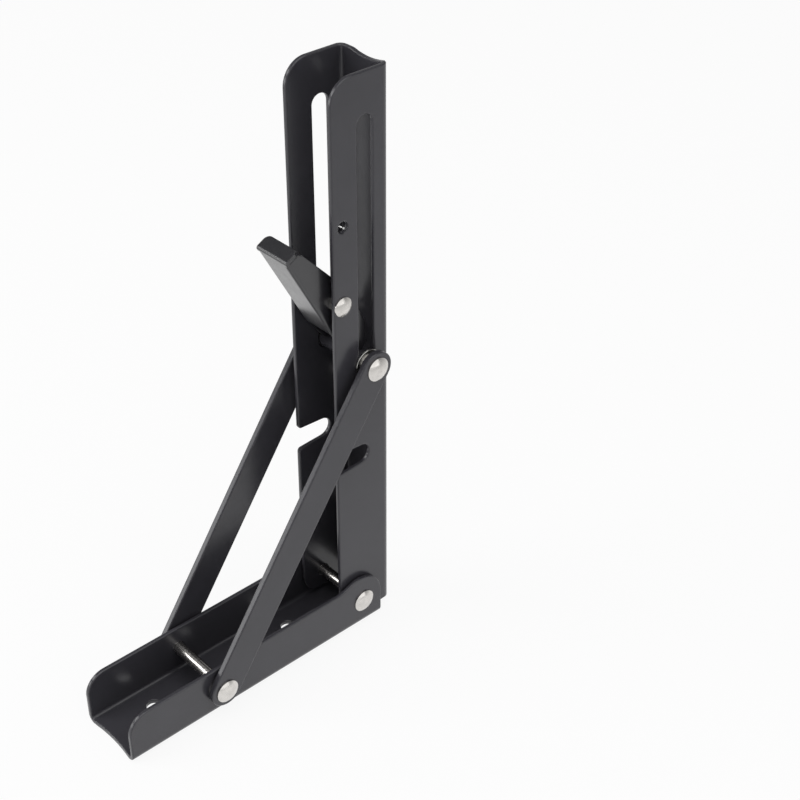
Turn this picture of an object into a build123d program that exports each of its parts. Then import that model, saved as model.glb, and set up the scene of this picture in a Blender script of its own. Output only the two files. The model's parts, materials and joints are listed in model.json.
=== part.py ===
from build123d import *
import os
from math import asin, atan2, cos, degrees, hypot, radians, sin, sqrt

os.makedirs("parts", exist_ok=True)

# A folding drop leaf bracket, standing open on its short arm.
# X runs along the rivets, the short arm lies along -Y and the table arm stands along +Z.
# The origin is on the mounting face of the short arm, straight below the hinge rivet.

# Base arm, a short channel that lies open side up
base_sheet = 1.8
base_width = 31.2
base_height = 22.3
base_nose = 43.4
base_rear = 9.8
base_bend = 3.2
base_corner = 9.0
base_dip_depth = 1.0
ear_radius = 12.0
ear_crest = 25.2
ear_blend = 12.0

# Table arm, a long channel that nests inside the base arm when folded
arm_sheet = 1.8
arm_gap = 0.8
arm_top = 250.0
arm_depth = 27.5
arm_nest_gap = 0.4
arm_foot = 3.8
arm_bend = 3.2
arm_corner = 10.0
arm_dip_depth = 1.3
arm_dip_half = 8.6
arm_dip_middle = 2.2

# Pivots, measured from the hinge rivet and along the table arm
hinge_height = 12.5
strut_reach = 0.3 * arm_top
slide_rest = 0.52 * arm_top
slide_setback = 5.4
base_front = strut_reach + base_nose

# Rivets
rivet_radius = 2.5
rivet_head_radius = 5.0
rivet_head_height = 2.2
rivet_head_rim = 0.5
lever_rivet_radius = 2.0
lever_head_radius = 4.0
lever_head_height = 1.8
running_gap = 0.05

# Ease of the sheared edges
edge_ease = 0.25

# Struts and the washers beside them
strut_sheet = 2.6
strut_width = 14.2
washer_sheet = 0.9
washer_radius = 6.2
hinge_washer_radius = 5.6

# Slot, the bushes that run in it and the sleeve between them
slot_width = 7.8
slot_end_gap = 0.3
bush_slot_gap = 0.1
bush_collar_radius = 6.0
bush_recess = 0.2
sleeve_radius = 3.5
sleeve_end_gap = 0.1
open_pivot_gap = 0.1

# Notch that clears the strut rivet when the arm is folded
notch_width = 8.8
notch_mouth = 10.2
notch_setback = 1.8
notch_round = 1.6

# Release lever, a folded pan with a front plate, two cheeks and a thumb tab
lever_sheet = 1.5
lever_width = 17.2
lever_lean = 28.3
lever_plate = 44.7
lever_tab = 6.7
lever_tab_bend = 1.2
lever_tab_gap = 0.25
lever_tab_corner = 2.5
lever_bend = 1.6
lever_pivot_rise = 30.0
lever_pivot_y = -6.2
lever_pivot_along = 32.6
lever_pivot_depth = 8.2
lever_crown = 6.2
lever_shoulder = (3.6, 7.4)
lever_waist = (21.2, 12.1)
lever_hip = (44.3, 14.6)
nose_gap = 0.3
nose_front = 4.0
nose_back = 2.9
nose_height = 12.0
nose_corner = 2.4
lever_side_gap = 0.1
lever_spacer_radius = 3.5
pin_cheek_gap = 0.4

# Return spring, coiled round the lever rivet inside the pan, of wire with small flats
spring_wire = 0.9
spring_flat_count = 8
spring_coil_radius = 2.9
spring_pitch = 1.0
spring_turns = 3
spring_start = 1.9
spring_leg = 14.0
spring_leg_slant = 13.0
spring_bend = 1.6
spring_tip = 0.4
spring_hole_radius = 2.5
spring_hole_rise = 33.0
spring_hole_y = -5.5

# Screw holes in both webs
screw_radius = 3.0
screw_stagger = 3.0
base_screws = (-0.36 * strut_reach, -0.82 * strut_reach, -1.28 * strut_reach)
arm_screws = (0.16 * arm_top, 0.42 * arm_top, 0.952 * arm_top)

# Places that follow from the sizes above
base_half = base_width / 2
base_inner = base_half - base_sheet
arm_half = base_inner - arm_gap
arm_inner = arm_half - arm_sheet
arm_front = base_sheet + arm_nest_gap - hinge_height
arm_back = arm_front + arm_depth
web_face = arm_back - arm_sheet
strut_inner = base_half + washer_sheet + running_gap
strut_outer = strut_inner + strut_sheet
rivet_seat = strut_outer + running_gap
bush_radius = slot_width / 2 - bush_slot_gap
bore_radius = rivet_radius + running_gap
lever_bore_radius = lever_rivet_radius + running_gap
lever_half = lever_width / 2
lever_inner = lever_half - lever_sheet
lever_pivot_z = slide_rest + lever_pivot_rise
spring_hole_z = lever_pivot_z + spring_hole_rise

# The strut holds its length, so the slide stands this far up the arm when it is folded
strut_rise = slide_rest - hinge_height
strut_run = strut_reach + slide_setback
strut_length = hypot(strut_run, strut_rise)
strut_angle = degrees(atan2(strut_rise, strut_run))
slide_folded = hinge_height + strut_reach + sqrt(strut_length**2 - slide_setback**2)
slot_top = slide_folded + bush_radius + slot_end_gap
slot_bottom = slide_rest - bush_radius - slot_end_gap

hinge_at = (0, hinge_height)
strut_pivot_at = (-strut_reach, hinge_height)
slide_at = (slide_setback, slide_rest)
lever_pivot_at = (lever_pivot_y, lever_pivot_z)
spring_hole_at = (spring_hole_y, spring_hole_z)
notch_z = hinge_height + strut_reach
strut_middle = ((slide_setback - strut_reach) / 2, (slide_rest + hinge_height) / 2)


def cross_plane(place):
    """Plane through a pivot that holds the X axis, for turned pieces."""
    return Plane(origin=(0, place[0], place[1]), x_dir=(1, 0, 0), z_dir=(0, 0, 1))


def cross_axis(place):
    """Axis along X through a pivot."""
    return Axis((0, place[0], place[1]), (1, 0, 0))


def domed_head(seat, shank, head, height, rim):
    """Outline of a domed head from the shank round to the axis."""
    Polyline((seat, shank), (seat, head), (seat + rim, head))
    sphere = (head**2 + (height - rim) ** 2) / (2 * (height - rim))
    RadiusArc((seat + rim, head), (seat + height, 0), sphere)


# Base arm: side outline, folded channel, pivot holes and screw holes
ear_at = (base_rear - ear_radius, ear_crest - ear_radius)
ear_meets_top = ear_at[0] - sqrt(ear_radius**2 - (base_height - ear_at[1]) ** 2)
with BuildPart() as base_arm:
    with BuildSketch(Plane.YZ) as base_side:
        with BuildLine():
            Polyline(
                (-base_front, 0),
                (base_rear, 0),
                (base_rear, ear_at[1]),
                (ear_at[0], ear_at[1]),
                (ear_at[0], base_height),
                (-base_front, base_height),
                close=True,
            )
        make_face()
        with Locations(ear_at):
            Circle(ear_radius)
        fillet(base_side.vertices().sort_by_distance((-base_front, base_height))[0], base_corner)
        fillet(base_side.vertices().sort_by_distance((ear_meets_top, base_height))[0], ear_blend)
    extrude(amount=base_half, both=True)
    fillet(base_arm.edges().filter_by(Axis.Y).group_by(Axis.Z)[0], base_bend)
    with BuildSketch(Plane.XZ) as base_hollow:
        with Locations((0, base_sheet)):
            Rectangle(2 * base_inner, ear_crest, align=(Align.CENTER, Align.MIN))
        fillet(base_hollow.vertices().group_by(Axis.Y)[0], base_bend - base_sheet)
    extrude(amount=base_front, both=True, mode=Mode.SUBTRACT)
    # The four lowest edges of the flanges are where the bends begin
    chamfer(base_arm.faces().filter_by(Axis.X).edges().sort_by(Axis.Z)[4:], edge_ease)
    with BuildSketch(Plane.YZ):
        with Locations(hinge_at, strut_pivot_at):
            Circle(bore_radius)
    extrude(amount=base_half, both=True, mode=Mode.SUBTRACT)
    with BuildSketch(Plane.XY):
        with BuildLine():
            left_end = (-base_inner + base_bend - base_sheet, -base_front)
            right_end = (base_inner - base_bend + base_sheet, -base_front)
            ThreePointArc(left_end, (0, base_dip_depth - base_front), right_end)
            Line(right_end, left_end)
        make_face()
        for count, reach in enumerate(base_screws):
            with Locations((screw_stagger * (-1) ** (count + 1), reach)):
                Circle(screw_radius)
    extrude(amount=base_sheet, mode=Mode.SUBTRACT)
base_arm.part.label = "base_arm"
export_step(base_arm.part, "parts/base_arm.step")

# Table arm: side outline with slot and notch, folded channel, spring hole and screw holes
toe_angle = degrees(asin((hinge_height - arm_foot) / -arm_front))
toe_y = arm_front * cos(radians(toe_angle))
with BuildPart() as table_arm:
    with BuildSketch(Plane.YZ) as arm_side:
        with BuildLine():
            Polyline(
                (arm_front, hinge_height),
                (arm_front, arm_top),
                (arm_back, arm_top),
                (arm_back, arm_foot),
                (toe_y, arm_foot),
            )
            CenterArc(hinge_at, -arm_front, 180, toe_angle)
        make_face()
        fillet(arm_side.vertices().sort_by_distance((arm_front, arm_top))[0], arm_corner)
        with BuildLine():
            Polyline((notch_setback, notch_z - notch_width / 2), (arm_front, notch_z - notch_mouth / 2))
            Line((arm_front, notch_z - notch_mouth / 2), (arm_front, notch_z + notch_mouth / 2))
            Polyline((arm_front, notch_z + notch_mouth / 2), (notch_setback, notch_z + notch_width / 2))
            CenterArc((notch_setback, notch_z), notch_width / 2, 90, -180)
        make_face(mode=Mode.SUBTRACT)
        mouth_low = arm_side.vertices().sort_by_distance((arm_front, notch_z - notch_mouth / 2))[0]
        mouth_high = arm_side.vertices().sort_by_distance((arm_front, notch_z + notch_mouth / 2))[0]
        fillet([mouth_low, mouth_high], notch_round)
        with Locations((slide_setback, (slot_top + slot_bottom) / 2)):
            SlotOverall(slot_top - slot_bottom, slot_width, rotation=90, mode=Mode.SUBTRACT)
        with Locations(hinge_at):
            Circle(bore_radius, mode=Mode.SUBTRACT)
        with Locations(lever_pivot_at):
            Circle(lever_bore_radius, mode=Mode.SUBTRACT)
    extrude(amount=arm_half, both=True)
    fillet(table_arm.edges().filter_by(Axis.Z).group_by(Axis.Y)[-1], arm_bend)
    with BuildSketch(Plane.XY) as arm_hollow:
        with Locations((0, web_face)):
            Rectangle(2 * arm_inner, arm_depth, align=(Align.CENTER, Align.MAX))
        fillet(arm_hollow.vertices().group_by(Axis.Y)[-1], arm_bend - arm_sheet)
    extrude(amount=arm_top, mode=Mode.SUBTRACT)
    # The four rearmost edges of the flanges are where the bends begin
    flange_edges = table_arm.faces().filter_by(Axis.X).edges().sort_by(Axis.Y)[:-4]
    chamfer(flange_edges.filter_by(lambda edge: not edge.is_closed), edge_ease)
    with BuildSketch(Plane.YZ):
        with Locations(spring_hole_at):
            Circle(spring_hole_radius)
    extrude(amount=arm_half, mode=Mode.SUBTRACT)
    with BuildSketch(Plane.XZ):
        with BuildLine():
            left_end = (arm_dip_middle - arm_dip_half, arm_top)
            right_end = (arm_dip_middle + arm_dip_half, arm_top)
            ThreePointArc(left_end, (arm_dip_middle, arm_top - arm_dip_depth), right_end)
            Line(right_end, left_end)
        make_face()
        for count, height in enumerate(arm_screws):
            with Locations((screw_stagger * (-1) ** count, height)):
                Circle(screw_radius)
    extrude(amount=-arm_back, mode=Mode.SUBTRACT)
table_arm.part.label = "table_arm"
export_step(table_arm.part, "parts/table_arm.step")

# Struts: one flat link on each side, with round ends and a bore at each end
for side, sign in (("right", 1), ("left", -1)):
    with BuildPart() as strut:
        with BuildSketch(Plane.YZ.offset(sign * strut_inner)):
            with Locations(strut_middle):
                SlotCenterToCenter(strut_length, strut_width, rotation=strut_angle)
            with Locations(strut_pivot_at, slide_at):
                Circle(bore_radius, mode=Mode.SUBTRACT)
        extrude(amount=sign * strut_sheet)
        outline = strut.faces().filter_by(Axis.X).edges().filter_by(lambda edge: not edge.is_closed)
        chamfer(outline, edge_ease)
    strut.part.label = f"strut_{side}"
    export_step(strut.part, f"parts/strut_{side}.step")

# Hinge rivet: joins the two arms, its heads seated on the base arm
with BuildPart() as hinge_rivet:
    with BuildSketch(cross_plane(hinge_at)) as hinge_half:
        with BuildLine():
            Line((0, 0), (0, rivet_radius))
            Line((0, rivet_radius), (base_half, rivet_radius))
            domed_head(base_half, rivet_radius, rivet_head_radius, rivet_head_height, rivet_head_rim)
            Line((base_half + rivet_head_height, 0), (0, 0))
        make_face()
    revolve(axis=cross_axis(hinge_at))
    mirror(about=Plane.YZ)
hinge_rivet.part.label = "hinge_rivet"
export_step(hinge_rivet.part, "parts/hinge_rivet.step")

# Strut rivet: crosses the base arm and carries the lower ends of both struts
with BuildPart() as strut_rivet:
    with BuildSketch(cross_plane(strut_pivot_at)):
        with BuildLine():
            Line((0, 0), (0, rivet_radius))
            Line((0, rivet_radius), (rivet_seat, rivet_radius))
            domed_head(rivet_seat, rivet_radius, rivet_head_radius, rivet_head_height, rivet_head_rim)
            Line((rivet_seat + rivet_head_height, 0), (0, 0))
        make_face()
    revolve(axis=cross_axis(strut_pivot_at))
    mirror(about=Plane.YZ)
strut_rivet.part.label = "strut_rivet"
export_step(strut_rivet.part, "parts/strut_rivet.step")

# Washers: thin ones between the arms at the hinge, thick ones under the struts
for side, sign in (("right", 1), ("left", -1)):
    with BuildPart() as hinge_washer:
        with BuildSketch(Plane.YZ.offset(sign * (arm_half + running_gap))):
            with Locations(hinge_at):
                Circle(hinge_washer_radius)
                Circle(bore_radius, mode=Mode.SUBTRACT)
        extrude(amount=sign * (arm_gap - running_gap))
    hinge_washer.part.label = f"hinge_washer_{side}"
    export_step(hinge_washer.part, f"parts/hinge_washer_{side}.step")

    with BuildPart() as strut_washer:
        with BuildSketch(Plane.YZ.offset(sign * base_half)):
            with Locations(strut_pivot_at):
                Circle(washer_radius)
                Circle(bore_radius, mode=Mode.SUBTRACT)
        extrude(amount=sign * washer_sheet)
    strut_washer.part.label = f"strut_washer_{side}"
    export_step(strut_washer.part, f"parts/strut_washer_{side}.step")

# Slide bushes: a shank in each slot and a collar that keeps the strut off the arm
bush_seat = arm_half + running_gap
bush_face = strut_inner - open_pivot_gap
bush_start = arm_inner + bush_recess
for side, sign in (("right", 1), ("left", -1)):
    with BuildPart() as slide_bush:
        with BuildSketch(Plane.YZ.offset(sign * bush_start)):
            with Locations(slide_at):
                Circle(bush_radius)
        extrude(amount=sign * (bush_seat - bush_start))
        with BuildSketch(Plane.YZ.offset(sign * bush_seat)):
            with Locations(slide_at):
                Circle(bush_collar_radius)
        extrude(amount=sign * (bush_face - bush_seat))
        with BuildSketch(Plane.YZ):
            with Locations(slide_at):
                Circle(bore_radius)
        extrude(amount=sign * bush_face, mode=Mode.SUBTRACT)
    slide_bush.part.label = f"slide_bush_{side}"
    export_step(slide_bush.part, f"parts/slide_bush_{side}.step")

# Slide rivet in its sleeve: the middle lies under the nose of the lever, the ends in the bushes
sleeve_start = lever_half + pin_cheek_gap
sleeve_end = bush_start - sleeve_end_gap
with BuildPart() as slide_rivet:
    with BuildSketch(Plane.YZ):
        with Locations(slide_at):
            Circle(sleeve_radius)
    extrude(amount=lever_inner - pin_cheek_gap, both=True)
    for sign in (1, -1):
        with BuildSketch(Plane.YZ.offset(sign * sleeve_start)):
            with Locations(slide_at):
                Circle(sleeve_radius)
        extrude(amount=sign * (sleeve_end - sleeve_start))
        with BuildSketch(Plane.YZ.offset(sign * sleeve_end)):
            with Locations(slide_at):
                Circle(rivet_radius)
        extrude(amount=sign * (bush_face - sleeve_end))
slide_rivet.part.label = "slide_rivet"
export_step(slide_rivet.part, "parts/slide_rivet.step")

# Heads of the slide rivet, each with the stretch of shank that lies in its strut
for side, sign in (("right", 1), ("left", -1)):
    with BuildPart() as slide_head:
        with BuildSketch(cross_plane(slide_at)):
            with BuildLine():
                Line((strut_inner, 0), (strut_inner, rivet_radius))
                Line((strut_inner, rivet_radius), (strut_outer, rivet_radius))
                domed_head(strut_outer, rivet_radius, rivet_head_radius, rivet_head_height, rivet_head_rim)
                Line((strut_outer + rivet_head_height, 0), (strut_inner, 0))
            make_face()
            if sign < 0:
                mirror(about=Plane.YZ, mode=Mode.REPLACE)
        revolve(axis=cross_axis(slide_at))
    slide_head.part.label = f"slide_head_{side}"
    export_step(slide_head.part, f"parts/slide_head_{side}.step")

# Release lever: measured along its front plate from the thumb tab, and back from that plate
lean = radians(lever_lean)
along = (sin(lean), -cos(lean))
inward = (cos(lean), sin(lean))
lever_top_y = lever_pivot_y - lever_pivot_along * along[0] - lever_pivot_depth * inward[0]
lever_top_z = lever_pivot_z - lever_pivot_along * along[1] - lever_pivot_depth * inward[1]
lever_plane = Plane(origin=(0, lever_top_y, lever_top_z), x_dir=(0, *along), z_dir=(1, 0, 0))


def on_lever(y, z):
    """A place on the table arm, given along and back from the lever's front plate."""
    run = (y - lever_top_y, z - lever_top_z)
    return (run[0] * along[0] + run[1] * along[1], run[0] * inward[0] + run[1] * inward[1])


nose_floor = slide_rest + sleeve_radius + nose_gap
nose_toe = on_lever(slide_setback - nose_front, nose_floor)
nose_heel = on_lever(slide_setback + nose_back, nose_floor)
nose_top = on_lever(slide_setback + nose_back, nose_floor + nose_height)
cheek_start = lever_sheet + lever_tab_gap
with BuildPart() as release_lever:
    with BuildSketch(lever_plane) as cheek:
        with BuildLine():
            Polyline(
                (cheek_start, 0),
                (lever_plate, 0),
                nose_toe,
                nose_heel,
                nose_top,
                lever_hip,
                lever_waist,
                lever_shoulder,
                (cheek_start, lever_crown),
                close=True,
            )
        make_face()
        fillet(cheek.vertices().sort_by_distance(nose_heel)[0], nose_corner)
        with Locations((lever_pivot_along, lever_pivot_depth)):
            Circle(lever_bore_radius, mode=Mode.SUBTRACT)
    extrude(amount=lever_half, both=True)
    plate_run = lever_plate - cheek_start
    plate_corners = release_lever.edges().filter_by(lambda edge: abs(edge.length - plate_run) < 0.01)
    fillet(plate_corners, lever_bend)
    with BuildSketch(lever_plane):
        with BuildLine():
            Polyline(
                (-lever_sheet, lever_sheet),
                (lever_plate, lever_sheet),
                (lever_plate, -lever_sheet),
                (2 * lever_plate, -lever_sheet),
                (2 * lever_plate, lever_plate),
                (-lever_sheet, lever_plate),
                close=True,
            )
        make_face()
    extrude(amount=lever_inner, both=True, mode=Mode.SUBTRACT)
    with BuildSketch(lever_plane) as tab:
        with BuildLine():
            Polyline(
                (0, 0),
                (cheek_start, 0),
                (cheek_start, lever_sheet),
                (lever_sheet, lever_sheet),
                (lever_sheet, lever_tab),
                (0, lever_tab),
                close=True,
            )
        make_face()
        fillet(tab.vertices().sort_by_distance((0, 0))[0], lever_tab_bend)
    extrude(amount=lever_half, both=True)
    tab_corners = release_lever.edges().filter_by(Axis((0, 0, 0), lever_plane.x_dir))
    beyond_tab = lever_plane.from_local_coords((0, lever_tab + lever_width, 0))
    fillet(tab_corners.sort_by_distance(beyond_tab)[:2], lever_tab_corner)
release_lever.part.label = "release_lever"
export_step(release_lever.part, "parts/release_lever.step")

# Lever rivet: crosses the table arm, its heads seated on the flanges
with BuildPart() as lever_rivet:
    with BuildSketch(cross_plane(lever_pivot_at)):
        with BuildLine():
            Line((0, 0), (0, lever_rivet_radius))
            Line((0, lever_rivet_radius), (arm_half, lever_rivet_radius))
            domed_head(arm_half, lever_rivet_radius, lever_head_radius, lever_head_height, rivet_head_rim)
            Line((arm_half + lever_head_height, 0), (0, 0))
        make_face()
    revolve(axis=cross_axis(lever_pivot_at))
    mirror(about=Plane.YZ)
lever_rivet.part.label = "lever_rivet"
export_step(lever_rivet.part, "parts/lever_rivet.step")

# Lever spacers: sleeves on the lever rivet that centre the lever in the arm
for side, sign in (("right", 1), ("left", -1)):
    with BuildPart() as lever_spacer:
        with BuildSketch(Plane.YZ.offset(sign * (lever_half + lever_side_gap))):
            with Locations(lever_pivot_at):
                Circle(lever_spacer_radius)
                Circle(lever_bore_radius, mode=Mode.SUBTRACT)
        extrude(amount=sign * (arm_inner - lever_half - lever_side_gap))
    lever_spacer.part.label = f"lever_spacer_{side}"
    export_step(lever_spacer.part, f"parts/lever_spacer_{side}.step")

# Return spring: a coil round the lever rivet, one leg hooked in the arm, one leg on the plate
hook_run = (spring_hole_y - lever_pivot_y, spring_hole_z - lever_pivot_z)
hook_reach = hypot(*hook_run)
hook_angle = degrees(atan2(hook_run[1], hook_run[0])) + degrees(asin(spring_coil_radius / hook_reach))
coil_end_angle = hook_angle - 90
coil_start_angle = 180 + lever_lean + spring_leg_slant
coil_turns = spring_turns + (360 + coil_end_angle - coil_start_angle) / 360
with BuildPart() as lever_spring:
    with BuildLine() as coil_path:
        Helix(
            spring_pitch,
            spring_pitch * coil_turns,
            spring_coil_radius,
            center=(spring_start, *lever_pivot_at),
            direction=(1, 0, 0),
        )
    # A helix starts above its axis, so it is turned from there to the plate leg
    coil = coil_path.edges()[0].rotate(cross_axis(lever_pivot_at), coil_start_angle - 90)
    with BuildSketch(Plane(origin=coil @ 0, z_dir=coil % 0)):
        RegularPolygon(spring_wire / 2, spring_flat_count)
    sweep(path=coil, is_frenet=True)
    with BuildSketch(Plane(origin=coil @ 0, z_dir=coil % 0)):
        RegularPolygon(spring_wire / 2, spring_flat_count)
    extrude(amount=-spring_leg)
    hook_start = coil @ 1
    hook_corner = Vector(arm_inner - spring_wire, *spring_hole_at)
    hook_tip = Vector(arm_half + spring_tip, *spring_hole_at)
    with BuildLine() as hook_path:
        FilletPolyline(hook_start, hook_corner, hook_tip, radius=spring_bend)
    with BuildSketch(Plane(origin=hook_start, z_dir=hook_corner - hook_start)):
        RegularPolygon(spring_wire / 2, spring_flat_count)
    sweep(path=hook_path.wires()[0])
lever_spring.part.label = "lever_spring"
export_step(lever_spring.part, "parts/lever_spring.step")
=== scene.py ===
import json
from math import asin, atan2, cos, degrees, hypot, pi, radians, sin

import bmesh
import bpy
from mathutils import Matrix, Vector


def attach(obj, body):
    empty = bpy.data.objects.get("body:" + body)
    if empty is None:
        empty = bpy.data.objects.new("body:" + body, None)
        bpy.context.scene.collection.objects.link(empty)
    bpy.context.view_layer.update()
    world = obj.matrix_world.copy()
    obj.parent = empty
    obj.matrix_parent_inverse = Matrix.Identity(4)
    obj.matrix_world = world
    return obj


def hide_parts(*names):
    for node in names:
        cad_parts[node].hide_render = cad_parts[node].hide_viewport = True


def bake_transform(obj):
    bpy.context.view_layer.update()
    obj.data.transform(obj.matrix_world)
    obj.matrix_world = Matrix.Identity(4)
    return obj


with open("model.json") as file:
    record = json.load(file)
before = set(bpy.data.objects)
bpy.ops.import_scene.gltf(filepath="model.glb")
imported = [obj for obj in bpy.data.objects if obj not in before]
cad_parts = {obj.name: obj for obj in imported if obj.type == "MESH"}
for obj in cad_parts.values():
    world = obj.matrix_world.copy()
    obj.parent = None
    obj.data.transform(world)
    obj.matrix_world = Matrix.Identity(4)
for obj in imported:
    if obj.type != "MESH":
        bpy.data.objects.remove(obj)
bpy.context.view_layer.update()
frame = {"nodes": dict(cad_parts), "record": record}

MM = 0.001

# Places repeated from the part's source, as (y, z) in millimetres
LEVER_PIVOT = (-6.2, 160.0)
SLIDE_AT = (5.4, 130.0)
SPRING_HOLE = (-5.5, 193.0)


# Node helpers

def new_material(name):
    """An empty node material with its output and one principled shader."""
    material = bpy.data.materials.new(name)
    material.use_nodes = True
    tree = material.node_tree
    tree.nodes.clear()
    shader = tree.nodes.new("ShaderNodeBsdfPrincipled")
    output = tree.nodes.new("ShaderNodeOutputMaterial")
    tree.links.new(shader.outputs["BSDF"], output.inputs["Surface"])
    return material, tree, shader


def noise(tree, scale, detail=3.0, roughness=0.5, stretch=(1, 1, 1)):
    """Noise over the object's own coordinates, in features per metre."""
    coordinates = tree.nodes.new("ShaderNodeTexCoord")
    mapping = tree.nodes.new("ShaderNodeMapping")
    mapping.inputs["Scale"].default_value = stretch
    texture = tree.nodes.new("ShaderNodeTexNoise")
    texture.inputs["Scale"].default_value = scale
    texture.inputs["Detail"].default_value = detail
    texture.inputs["Roughness"].default_value = roughness
    tree.links.new(coordinates.outputs["Object"], mapping.inputs["Vector"])
    tree.links.new(mapping.outputs["Vector"], texture.inputs["Vector"])
    return texture.outputs["Fac"]


def spread(tree, value, low, high, start=0.3, end=0.7):
    """Maps a value from start..end to low..high."""
    node = tree.nodes.new("ShaderNodeMapRange")
    node.inputs["From Min"].default_value = start
    node.inputs["From Max"].default_value = end
    node.inputs["To Min"].default_value = low
    node.inputs["To Max"].default_value = high
    tree.links.new(value, node.inputs["Value"])
    return node.outputs["Result"]


def blend_colors(tree, value, first, second, start=0.3, end=0.7):
    """A colour between two, by a noise value."""
    ramp = tree.nodes.new("ShaderNodeValToRGB")
    ramp.color_ramp.elements[0].position = start
    ramp.color_ramp.elements[0].color = (*first, 1)
    ramp.color_ramp.elements[1].position = end
    ramp.color_ramp.elements[1].color = (*second, 1)
    tree.links.new(value, ramp.inputs["Fac"])
    return ramp.outputs["Color"]


def bump(tree, value, distance, strength, before=None):
    """Bump from a height value, after another normal if one is given."""
    node = tree.nodes.new("ShaderNodeBump")
    node.inputs["Strength"].default_value = strength
    node.inputs["Distance"].default_value = distance
    tree.links.new(value, node.inputs["Height"])
    if before is not None:
        tree.links.new(before, node.inputs["Normal"])
    return node.outputs["Normal"]


def larger(tree, first, second):
    """The larger of two values."""
    node = tree.nodes.new("ShaderNodeMath")
    node.operation = "MAXIMUM"
    tree.links.new(first, node.inputs[0])
    tree.links.new(second, node.inputs[1])
    return node.outputs[0]


# Materials

def powder_coat(name, dark, light, rough, peel, lacquer=0.0):
    """Satin black coat: rounded over the edges, with fine orange peel, faint mottling and slow waves."""
    material, tree, shader = new_material(name)
    rounded = tree.nodes.new("ShaderNodeBevel")
    rounded.samples = 8
    rounded.inputs["Radius"].default_value = 0.8 * MM
    mottle = noise(tree, 55, 4)
    tree.links.new(blend_colors(tree, mottle, dark, light), shader.inputs["Base Color"])
    haze = noise(tree, 240, 3)
    tree.links.new(spread(tree, haze, rough - 0.03, rough + 0.03), shader.inputs["Roughness"])
    grain = bump(tree, noise(tree, 2600, 2), 0.02 * MM, peel, rounded.outputs["Normal"])
    waves = bump(tree, noise(tree, 90, 2), 0.2 * MM, 0.06, grain)
    tree.links.new(waves, shader.inputs["Normal"])
    shader.inputs["Coat Weight"].default_value = lacquer
    shader.inputs["Coat Roughness"].default_value = 0.15
    return material


def plated(name, dark, light, rough, stretch=(1, 1, 1)):
    """Plated steel: fine turning marks and faint haze."""
    material, tree, shader = new_material(name)
    shader.inputs["Metallic"].default_value = 1.0
    haze = noise(tree, 420, 4)
    tree.links.new(blend_colors(tree, haze, dark, light), shader.inputs["Base Color"])
    marks = noise(tree, 900, 3, 0.6, stretch)
    tree.links.new(spread(tree, marks, rough - 0.06, rough + 0.08), shader.inputs["Roughness"])
    tree.links.new(bump(tree, marks, 0.02 * MM, 0.08), shader.inputs["Normal"])
    return material


materials = {
    "black_coat": powder_coat("black_coat", (0.035, 0.034, 0.04), (0.04, 0.039, 0.046), 0.23, 0.15),
    "lever_coat": powder_coat(
        "lever_coat", (0.013, 0.0127, 0.0155), (0.016, 0.0156, 0.0185), 0.34, 0.1, lacquer=0.6),
    "nickel_rivet": plated("nickel_rivet", (0.62, 0.6, 0.575), (0.72, 0.695, 0.665), 0.22),
    "zinc_washer": plated("zinc_washer", (0.5, 0.49, 0.47), (0.62, 0.61, 0.59), 0.17, (6, 1, 1)),
    "spring_steel": plated("spring_steel", (0.55, 0.55, 0.54), (0.7, 0.7, 0.69), 0.25),
}

slot_of = {entry["node"]: entry["material_slot"] for entry in frame["record"]["subparts"]}
for name, node in frame["nodes"].items():
    node.data.materials.clear()
    node.data.materials.append(materials[slot_of[name]])


# Mesh helpers

def finished_piece(name, mesh_data, slot, body=None):
    """Turns a bmesh into a smooth piece with its material, riding on a body if one is given."""
    mesh = bpy.data.meshes.new(name)
    bmesh.ops.recalc_face_normals(mesh_data, faces=mesh_data.faces)
    mesh_data.to_mesh(mesh)
    mesh_data.free()
    for face in mesh.polygons:
        face.use_smooth = True
    mesh.set_sharp_from_angle(angle=radians(40))
    piece = bpy.data.objects.new(name, mesh)
    bpy.context.scene.collection.objects.link(piece)
    mesh.materials.append(materials[slot])
    if body is not None:
        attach(piece, body)
    return piece


def joined_rings(data, low, high):
    """Faces between two rings of as many points, one after the other."""
    count = len(low)
    for step in range(count):
        after = (step + 1) % count
        data.faces.new((low[step], low[after], high[after], high[step]))


def lathe_along_x(profile, place, steps=64):
    """A closed body turned about a line along X through (y, z). The profile is (x, radius) in mm."""
    data = bmesh.new()
    rings = []
    for x, radius in profile:
        if radius == 0:
            rings.append([data.verts.new((x * MM, place[0] * MM, place[1] * MM))])
            continue
        ring = []
        for step in range(steps):
            angle = 2 * pi * step / steps
            y = place[0] + radius * cos(angle)
            z = place[1] + radius * sin(angle)
            ring.append(data.verts.new((x * MM, y * MM, z * MM)))
        rings.append(ring)
    for low, high in zip(rings, rings[1:]):
        if len(low) == len(high):
            joined_rings(data, low, high)
            continue
        tip, ring = (low[0], high) if len(low) == 1 else (high[0], low)
        for step in range(steps):
            data.faces.new((tip, ring[(step + 1) % steps], ring[step]))
    return data


def tube(points, radius, steps=12):
    """A round wire along points in mm, with flat ends."""
    data = bmesh.new()
    side = None
    rings = []
    for index, point in enumerate(points):
        ahead = points[min(index + 1, len(points) - 1)] - points[max(index - 1, 0)]
        ahead.normalize()
        if side is None:
            side = ahead.orthogonal().normalized()
        side = (side - ahead * side.dot(ahead)).normalized()
        other = ahead.cross(side)
        ring = []
        for step in range(steps):
            angle = 2 * pi * step / steps
            place = point + (side * cos(angle) + other * sin(angle)) * radius
            ring.append(data.verts.new(place * MM))
        rings.append(ring)
    for low, high in zip(rings, rings[1:]):
        joined_rings(data, low, high)
    data.faces.new(rings[0])
    data.faces.new(list(reversed(rings[-1])))
    return data


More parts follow.
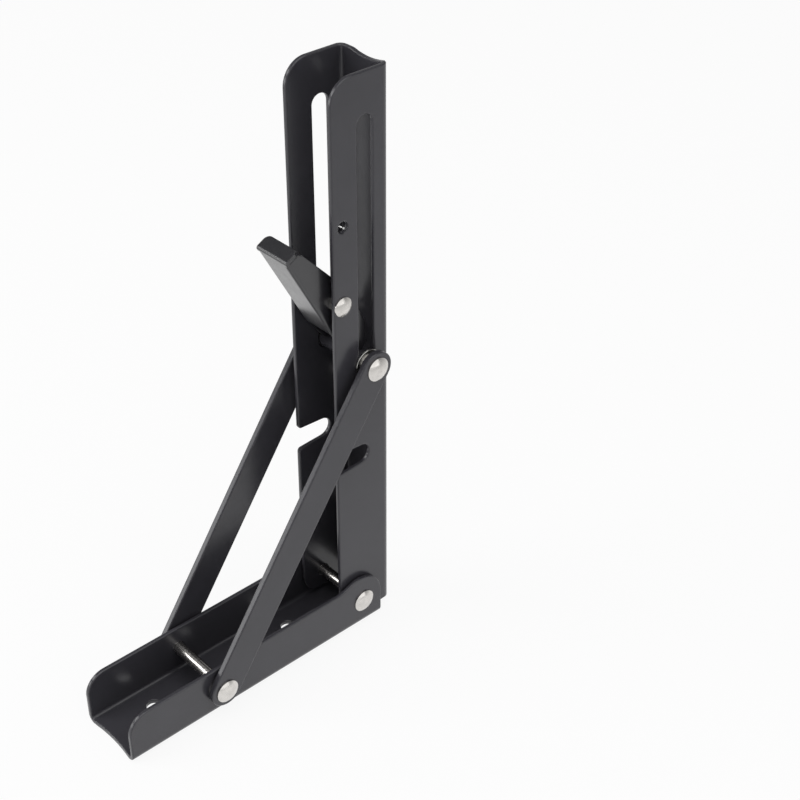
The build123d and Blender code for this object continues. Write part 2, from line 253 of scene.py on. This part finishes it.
# Slide rivet: one shank with its sleeve, in place of the parted solid
shank_radius = 2.5
shank_end = 16.4
shank_edge = 0.1
sleeve_radius = 3.5
sleeve_end = 11.95
sleeve_edge = 0.25
half_profile = [
    (sleeve_end - sleeve_edge, sleeve_radius),
    (sleeve_end, sleeve_radius - sleeve_edge),
    (sleeve_end, shank_radius),
    (shank_end - shank_edge, shank_radius),
    (shank_end, shank_radius - shank_edge),
    (shank_end, 0),
]
slide_profile = [(-x, radius) for x, radius in reversed(half_profile)] + half_profile
slide_shank = finished_piece("slide_shank", lathe_along_x(slide_profile, SLIDE_AT), "black_coat", "slide")
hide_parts("slide_rivet")

# Slide bushes: a thin collar against the flange and a slimmer hub up to the strut
bush_start = 12.0
bush_radius = 3.8
collar_start = 13.05
collar_end = 13.95
collar_radius = 6.0
collar_edge = 0.15
hub_radius = 4.3
hub_end = 16.45
bush_profile = [
    (bush_start, 0),
    (bush_start, bush_radius),
    (collar_start, bush_radius),
    (collar_start, collar_radius - collar_edge),
    (collar_start + collar_edge, collar_radius),
    (collar_end - collar_edge, collar_radius),
    (collar_end, collar_radius - collar_edge),
    (collar_end, hub_radius),
    (hub_end, hub_radius),
    (hub_end, 0),
]
for side, sign in (("right", 1), ("left", -1)):
    side_profile = [(sign * x, radius) for x, radius in bush_profile]
    bush = finished_piece(f"bush_{side}", lathe_along_x(side_profile, SLIDE_AT), "zinc_washer", "slide")
    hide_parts(f"slide_bush_{side}")

# Return spring of round wire: a leg behind the lever's plate, the coil, and a leg hooked in the flange
spring_wire = 0.9
coil_radius = 2.9
coil_pitch = 1.0
coil_start_x = 1.9
coil_steps = 150
leg_length = 14.0
leg_slant = 13.0
leg_steps = 8
lever_lean = 28.3
hook_corner_x = 10.3
hook_tip_x = 13.4
hook_bend = 1.6
bend_steps = 6

# The coil starts square to the plate leg and ends where a line from the hook hole touches it
hook_run = (SPRING_HOLE[0] - LEVER_PIVOT[0], SPRING_HOLE[1] - LEVER_PIVOT[1])
hook_reach = hypot(*hook_run)
start_angle = 180 + lever_lean + leg_slant
end_angle = degrees(atan2(hook_run[1], hook_run[0])) + degrees(asin(coil_radius / hook_reach)) - 90
end_angle += 360 * 4
coil_turn = end_angle - start_angle
coil_points = []
for step in range(coil_steps + 1):
    share = step / coil_steps
    angle = radians(start_angle + coil_turn * share)
    x = coil_start_x + coil_pitch * coil_turn / 360 * share
    y = LEVER_PIVOT[0] + coil_radius * cos(angle)
    z = LEVER_PIVOT[1] + coil_radius * sin(angle)
    coil_points.append(Vector((x, y, z)))

coil_start = coil_points[0]
coil_end = coil_points[-1]
leg_run = (coil_start - coil_points[1]).normalized() * leg_length
plate_leg = [coil_start + leg_run * share / leg_steps for share in range(leg_steps, 0, -1)]
hook_corner = Vector((hook_corner_x, *SPRING_HOLE))
bend_start = hook_corner - (hook_corner - coil_end).normalized() * hook_bend
bend_end = hook_corner + Vector((hook_bend, 0, 0))
hook_leg = [coil_end.lerp(bend_start, share / leg_steps) for share in range(1, leg_steps + 1)]
for step in range(1, bend_steps + 1):
    share = step / bend_steps
    before_corner = bend_start.lerp(hook_corner, share)
    after_corner = hook_corner.lerp(bend_end, share)
    hook_leg.append(before_corner.lerp(after_corner, share))
hook_leg.append(Vector((hook_tip_x, *SPRING_HOLE)))
spring_path = plate_leg + coil_points + hook_leg
return_spring = finished_piece("return_spring", tube(spring_path, spring_wire / 2), "spring_steel")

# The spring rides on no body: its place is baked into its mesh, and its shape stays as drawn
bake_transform(return_spring)
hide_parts("lever_spring")


# Floor and world: pale, white to the camera, with the object's shadow kept on the floor

def floor_material(glow_share=0.9):
    """Pale floor that glows white to the camera and in reflections, and fades a little with distance."""
    material, tree, shader = new_material("pale_floor")
    shader.inputs["Base Color"].default_value = (0.8, 0.8, 0.8, 1)
    shader.inputs["Roughness"].default_value = 0.9
    shader.inputs["Specular IOR Level"].default_value = 0.1
    glow = tree.nodes.new("ShaderNodeEmission")
    glow.inputs["Color"].default_value = (1, 1, 1, 1)
    rays = tree.nodes.new("ShaderNodeLightPath").outputs
    coordinates = tree.nodes.new("ShaderNodeTexCoord")
    distance = tree.nodes.new("ShaderNodeVectorMath")
    distance.operation = "LENGTH"
    tree.links.new(coordinates.outputs["Object"], distance.inputs[0])
    fading = spread(tree, distance.outputs["Value"], 1.0, 0.7, 0.1, 0.9)
    tree.links.new(larger(tree, fading, rays["Is Camera Ray"]), glow.inputs["Strength"])
    share = tree.nodes.new("ShaderNodeMath")
    share.operation = "MULTIPLY"
    share.inputs[1].default_value = glow_share
    tree.links.new(larger(tree, rays["Is Camera Ray"], rays["Is Glossy Ray"]), share.inputs[0])
    mix = tree.nodes.new("ShaderNodeMixShader")
    tree.links.new(share.outputs[0], mix.inputs["Fac"])
    tree.links.new(shader.outputs["BSDF"], mix.inputs[1])
    tree.links.new(glow.outputs["Emission"], mix.inputs[2])
    tree.links.new(mix.outputs["Shader"], tree.nodes["Material Output"].inputs["Surface"])
    return material


def studio_world(levels):
    """White to the camera. Other rays see grey levels, given as (height from 0 to 1, level)."""
    world = bpy.data.worlds.new("studio")
    world.use_nodes = True
    tree = world.node_tree
    tree.nodes.clear()
    direction = tree.nodes.new("ShaderNodeTexCoord")
    height = tree.nodes.new("ShaderNodeSeparateXYZ")
    ramp = tree.nodes.new("ShaderNodeValToRGB")
    room = tree.nodes.new("ShaderNodeBackground")
    tree.links.new(direction.outputs["Generated"], height.inputs["Vector"])
    tree.links.new(height.outputs["Z"], ramp.inputs["Fac"])
    tree.links.new(ramp.outputs["Color"], room.inputs["Color"])
    elements = ramp.color_ramp.elements
    for element, (position, level) in zip(elements, (levels[0], levels[-1])):
        element.position = position
        element.color = (level, level, level, 1)
    for position, level in levels[1:-1]:
        elements.new(position).color = (level, level, level, 1)
    white = tree.nodes.new("ShaderNodeBackground")
    white.inputs["Color"].default_value = (1, 1, 1, 1)
    rays = tree.nodes.new("ShaderNodeLightPath")
    mix = tree.nodes.new("ShaderNodeMixShader")
    output = tree.nodes.new("ShaderNodeOutputWorld")
    tree.links.new(rays.outputs["Is Camera Ray"], mix.inputs["Fac"])
    tree.links.new(room.outputs["Background"], mix.inputs[1])
    tree.links.new(white.outputs["Background"], mix.inputs[2])
    tree.links.new(mix.outputs["Shader"], output.inputs["Surface"])
    return world


floor_reach = 3.0
floor_drop = 0.0002
floor_corners = [(x * floor_reach, y * floor_reach, 0) for x, y in ((-1, -1), (1, -1), (1, 1), (-1, 1))]
floor_mesh = bpy.data.meshes.new("floor")
floor_mesh.from_pydata(floor_corners, [], [(0, 1, 2, 3)])
floor_mesh.materials.append(floor_material())
floor = bpy.data.objects.new("floor", floor_mesh)
floor.location.z = -floor_drop
bpy.context.scene.collection.objects.link(floor)
bpy.context.scene.world = studio_world(((0.1, 0.6), (0.45, 0.13), (0.82, 0.13), (1.0, 2.2)))


# Soft studio lamps, all aimed at the middle of the object

def soft_lamp(name, place, size, power):
    """A rectangular area lamp."""
    lamp = bpy.data.lights.new(name, "AREA")
    lamp.shape = "RECTANGLE"
    lamp.size, lamp.size_y = size
    lamp.energy = power
    holder = bpy.data.objects.new(name, lamp)
    holder.location = place
    away = Vector(place) - Vector((0, -0.03, 0.12))
    holder.rotation_euler = away.to_track_quat("Z", "Y").to_euler()
    bpy.context.scene.collection.objects.link(holder)


soft_lamp("key", (-0.75, -1.05, 1.0), (0.9, 0.6), 8)
soft_lamp("low", (-0.8, -1.1, 0.22), (0.9, 0.4), 3.5)
soft_lamp("side", (1.5, -0.1, 1.25), (2.6, 2.6), 19)
soft_lamp("top", (0.2, -0.6, 1.7), (1.0, 1.0), 3)

# Camera at the photograph's place, with its focal length and middle in pixels of the frame
camera_place = (0.38906, -0.32132, 0.46128)
azimuth = radians(48.25)
elevation = radians(33.74)
roll = radians(-0.12)
focal_pixels = 1550.8
frame_pixels = 800
middle = (384.3, 365.6)
sensor_width = 36
back = Vector((sin(azimuth) * cos(elevation), -cos(azimuth) * cos(elevation), sin(elevation)))
level = Vector((cos(azimuth), sin(azimuth), 0))
above = back.cross(level)
right = level * cos(roll) + above * sin(roll)
up = above * cos(roll) - level * sin(roll)
camera_data = bpy.data.cameras.new("camera")
camera_data.sensor_width = sensor_width
camera_data.sensor_fit = "HORIZONTAL"
camera_data.lens = focal_pixels * sensor_width / frame_pixels
camera_data.shift_x = (frame_pixels / 2 - middle[0]) / frame_pixels
camera_data.shift_y = (middle[1] - frame_pixels / 2) / frame_pixels
camera_data.clip_start = 0.01
camera_data.clip_end = 20
camera = bpy.data.objects.new("camera", camera_data)
turn = Matrix((right, up, back)).transposed().to_4x4()
camera.matrix_world = Matrix.Translation(camera_place) @ turn
bpy.context.scene.collection.objects.link(camera)
bpy.context.scene.camera = camera

bpy.context.scene.view_settings.view_transform = "Standard"

bpy.context.view_layer.update()
